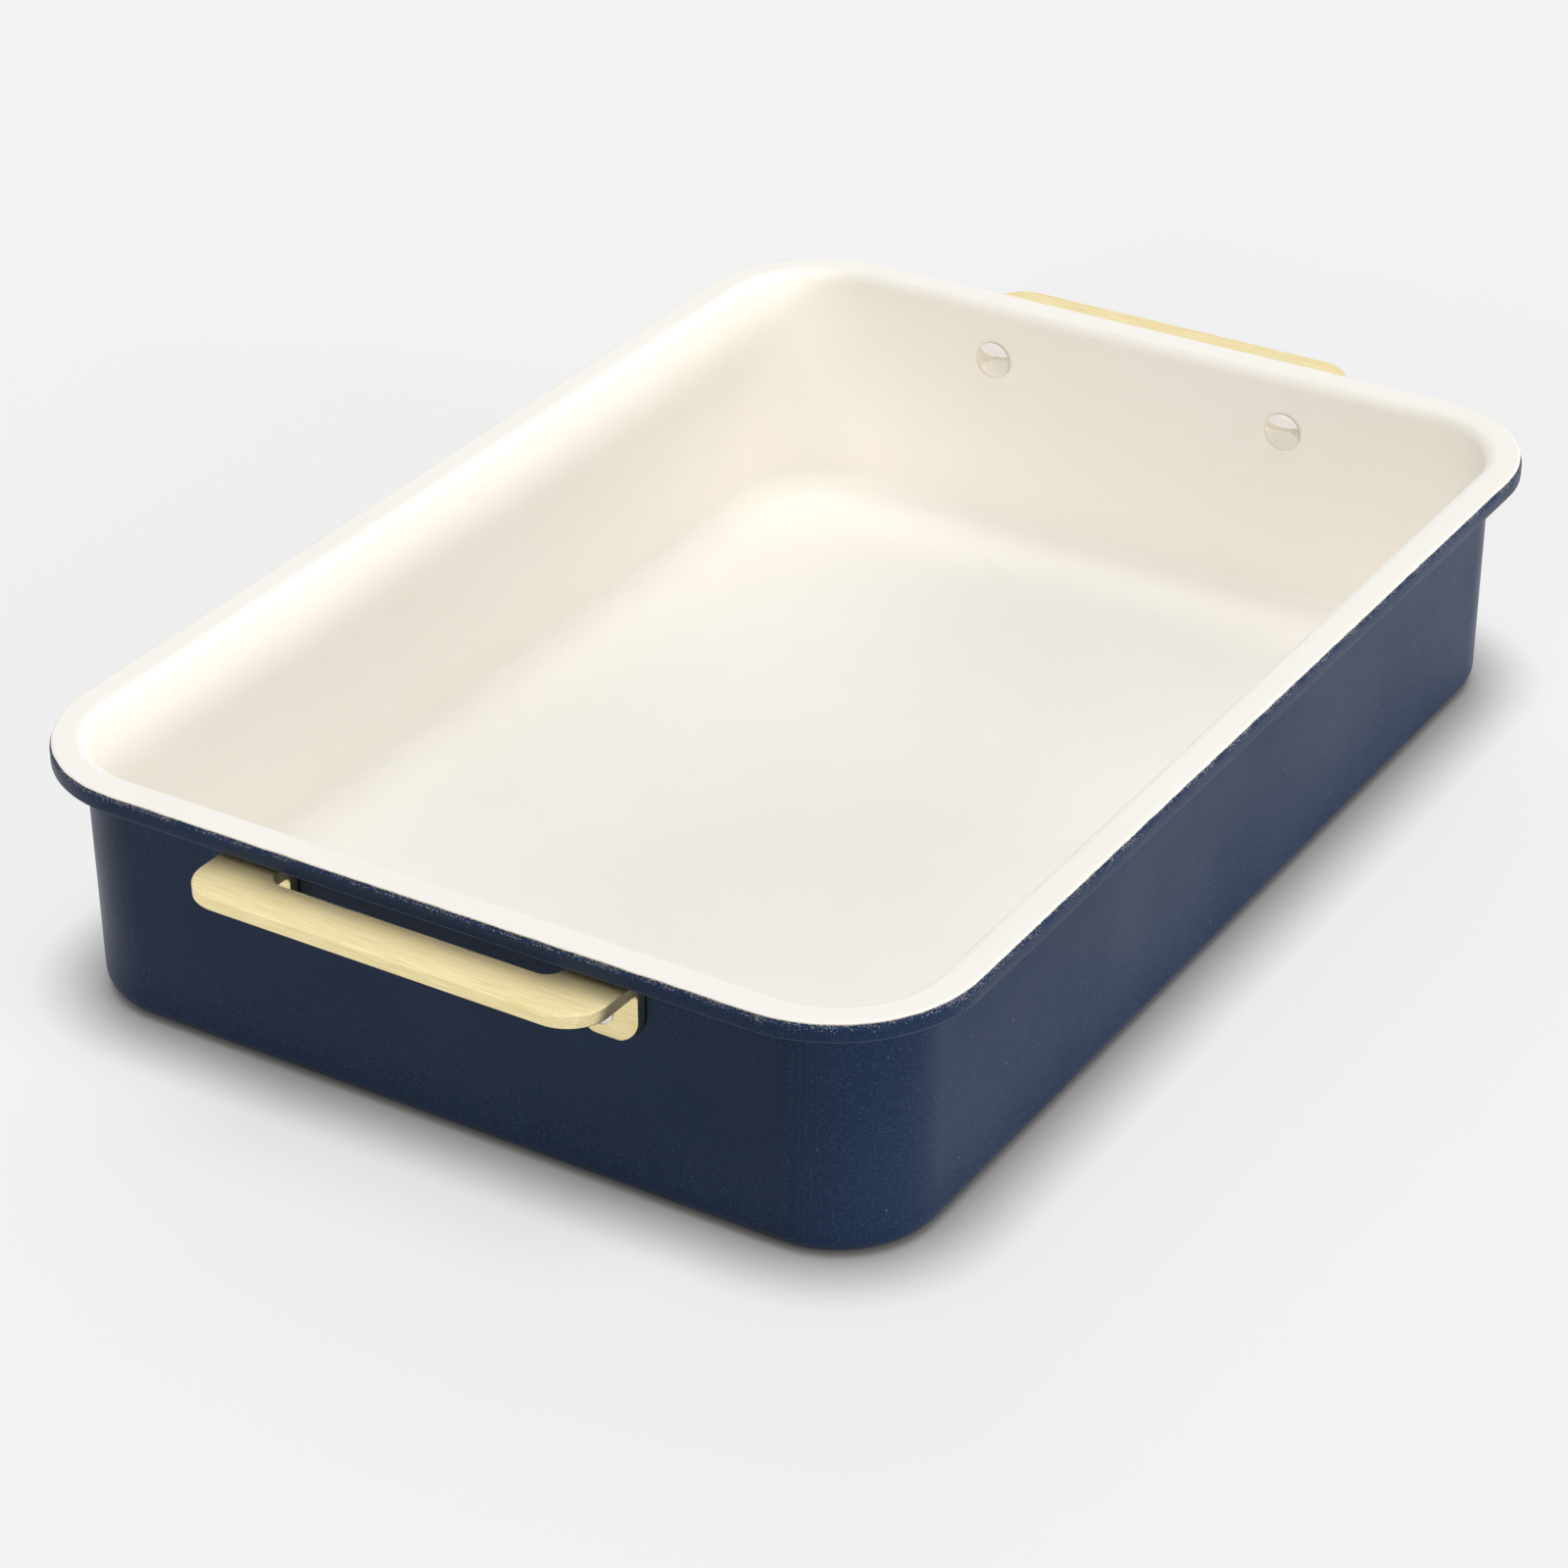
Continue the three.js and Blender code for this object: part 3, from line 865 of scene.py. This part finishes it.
ball_squared = calculate(head_tree, "MULTIPLY", ball, ball)
ball_height = calculate(
    head_tree, "SQRT", calculate(head_tree, "SUBTRACT", ball_squared, away_squared)
)
bulge = calculate(
    head_tree, "SUBTRACT", ball_height, calculate(head_tree, "SUBTRACT", ball, crown)
)
domed = add_node(
    head_tree,
    "GeometryNodeSetPosition",
    Geometry=disc.outputs["Mesh"],
    Selection=disc.outputs["Top"],
    Offset=add_node(head_tree, "ShaderNodeCombineXYZ", Z=bulge).outputs["Vector"],
)
seated = add_node(
    head_tree,
    "GeometryNodeTransform",
    Geometry=domed.outputs["Geometry"],
    Translation=add_node(
        head_tree,
        "ShaderNodeCombineXYZ",
        Z=calculate(head_tree, "MULTIPLY", given.outputs["Rim"], 0.5),
    ).outputs["Vector"],
)
head_tree.links.new(seated.outputs["Geometry"], result.inputs["Geometry"])

# The rivets of both handles, each from two heads and a shank
rivet_tree, given, result = new_group(
    "GeometryNodeTree",
    "riveting",
    {
        "Dome Diameter": "NodeSocketFloat",
        "Dome Height": "NodeSocketFloat",
        "Dome Rim": "NodeSocketFloat",
        "Closed Diameter": "NodeSocketFloat",
        "Closed Height": "NodeSocketFloat",
        "Closed Rim": "NodeSocketFloat",
        "Shank Diameter": "NodeSocketFloat",
        "Stack": "NodeSocketFloat",
        "Spacing": "NodeSocketFloat",
        "Reach": "NodeSocketFloat",
        "Height": "NodeSocketFloat",
        "Lean": "NodeSocketFloat",
        "Material": "NodeSocketMaterial",
    },
    {"Geometry": "NodeSocketGeometry"},
)
dome = add_node(
    rivet_tree,
    "GeometryNodeGroup",
    {"node_tree": head_tree},
    Diameter=given.outputs["Dome Diameter"],
    Height=given.outputs["Dome Height"],
    Rim=given.outputs["Dome Rim"],
)
closed = add_node(
    rivet_tree,
    "GeometryNodeGroup",
    {"node_tree": head_tree},
    Diameter=given.outputs["Closed Diameter"],
    Height=given.outputs["Closed Height"],
    Rim=given.outputs["Closed Rim"],
)
stack_down = calculate(rivet_tree, "MULTIPLY", given.outputs["Stack"], -1.0)
closed_over = add_node(
    rivet_tree,
    "GeometryNodeTransform",
    Geometry=closed.outputs["Geometry"],
    Translation=add_node(rivet_tree, "ShaderNodeCombineXYZ", Z=stack_down).outputs["Vector"],
    Rotation=(math.pi, 0, 0),
)
shank_overlap = 0.2 * mm
shank = add_node(
    rivet_tree,
    "GeometryNodeMeshCylinder",
    Vertices=32,
    Radius=calculate(rivet_tree, "MULTIPLY", given.outputs["Shank Diameter"], 0.5),
    Depth=calculate(rivet_tree, "ADD", given.outputs["Stack"], 2 * shank_overlap),
)
shank_set = add_node(
    rivet_tree,
    "GeometryNodeTransform",
    Geometry=shank.outputs["Mesh"],
    Translation=add_node(
        rivet_tree, "ShaderNodeCombineXYZ", Z=calculate(rivet_tree, "MULTIPLY", stack_down, 0.5)
    ).outputs["Vector"],
)
whole = add_node(rivet_tree, "GeometryNodeMeshBoolean", {"operation": "UNION", "solver": "EXACT"})
for part in (dome, closed_over, shank_set):
    rivet_tree.links.new(part.outputs["Geometry"], whole.inputs["Mesh 2"])
places = add_node(
    rivet_tree,
    "GeometryNodeMeshLine",
    {"mode": "OFFSET"},
    Count=2,
    Start_Location=add_node(
        rivet_tree,
        "ShaderNodeCombineXYZ",
        X=given.outputs["Reach"],
        Y=calculate(rivet_tree, "MULTIPLY", given.outputs["Spacing"], -0.5),
        Z=given.outputs["Height"],
    ).outputs["Vector"],
    Offset=add_node(
        rivet_tree, "ShaderNodeCombineXYZ", Y=given.outputs["Spacing"]
    ).outputs["Vector"],
)
inwards = add_node(
    rivet_tree,
    "ShaderNodeCombineXYZ",
    Y=calculate(rivet_tree, "SUBTRACT", given.outputs["Lean"], quarter),
)
rear_pair = add_node(
    rivet_tree,
    "GeometryNodeInstanceOnPoints",
    Points=places.outputs["Mesh"],
    Instance=whole.outputs["Mesh"],
    Rotation=inwards.outputs["Vector"],
)
front_pair = add_node(
    rivet_tree,
    "GeometryNodeTransform",
    Geometry=rear_pair.outputs["Instances"],
    Rotation=(0, 0, math.pi),
)
both = add_node(rivet_tree, "GeometryNodeJoinGeometry")
rivet_tree.links.new(rear_pair.outputs["Instances"], both.inputs["Geometry"])
rivet_tree.links.new(front_pair.outputs["Geometry"], both.inputs["Geometry"])
real = add_node(rivet_tree, "GeometryNodeRealizeInstances", Geometry=both.outputs["Geometry"])
painted = add_node(
    rivet_tree,
    "GeometryNodeSetMaterial",
    Geometry=real.outputs["Geometry"],
    Material=given.outputs["Material"],
)
rivet_tree.links.new(painted.outputs["Geometry"], result.inputs["Geometry"])

left_low, left_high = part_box("rivet_rear_left")
right_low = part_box("rivet_rear_right")[0]
head_gap = 0.1 * mm
dome_seat = coat_outer + head_gap
closed_seat = steel_thickness + handle_seat_gap + handle_thickness + head_gap
rivet_height = (left_low.z + left_high.z) / 2
rivet_root = end_wall(rivet_height, dome_seat)
rivet_sizes = {
    "Dome Diameter": 10.8 * mm,
    "Dome Height": 2.2 * mm,
    "Dome Rim": 0.5 * mm,
    "Closed Diameter": 7.2 * mm,
    "Closed Height": 1.2 * mm,
    "Closed Rim": 0.3 * mm,
    "Shank Diameter": 3.5 * mm,
    "Stack": dome_seat + closed_seat,
    "Spacing": abs(left_low.y - right_low.y),
    "Reach": rim_length / 2 + rivet_root.x,
    "Height": rivet_root.y,
    "Lean": wall_draft,
    "Material": bright_steel,
}
rivets = bpy.data.objects.new("rivets", bpy.data.meshes.new("rivets"))
scene.collection.objects.link(rivets)
riveting = rivets.modifiers.new("riveting", "NODES")
riveting.node_group = rivet_tree
for socket in rivet_tree.interface.items_tree:
    if socket.in_out == "INPUT":
        riveting[socket.identifier] = rivet_sizes[socket.name]
softened = rivets.modifiers.new("softened_rims", "BEVEL")
softened.width = 0.2 * mm
softened.segments = 3
softened.limit_method = "ANGLE"
softened.angle_limit = math.radians(40)
finished(rivets)
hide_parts(*rivet_nodes)
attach(rivets, "root")
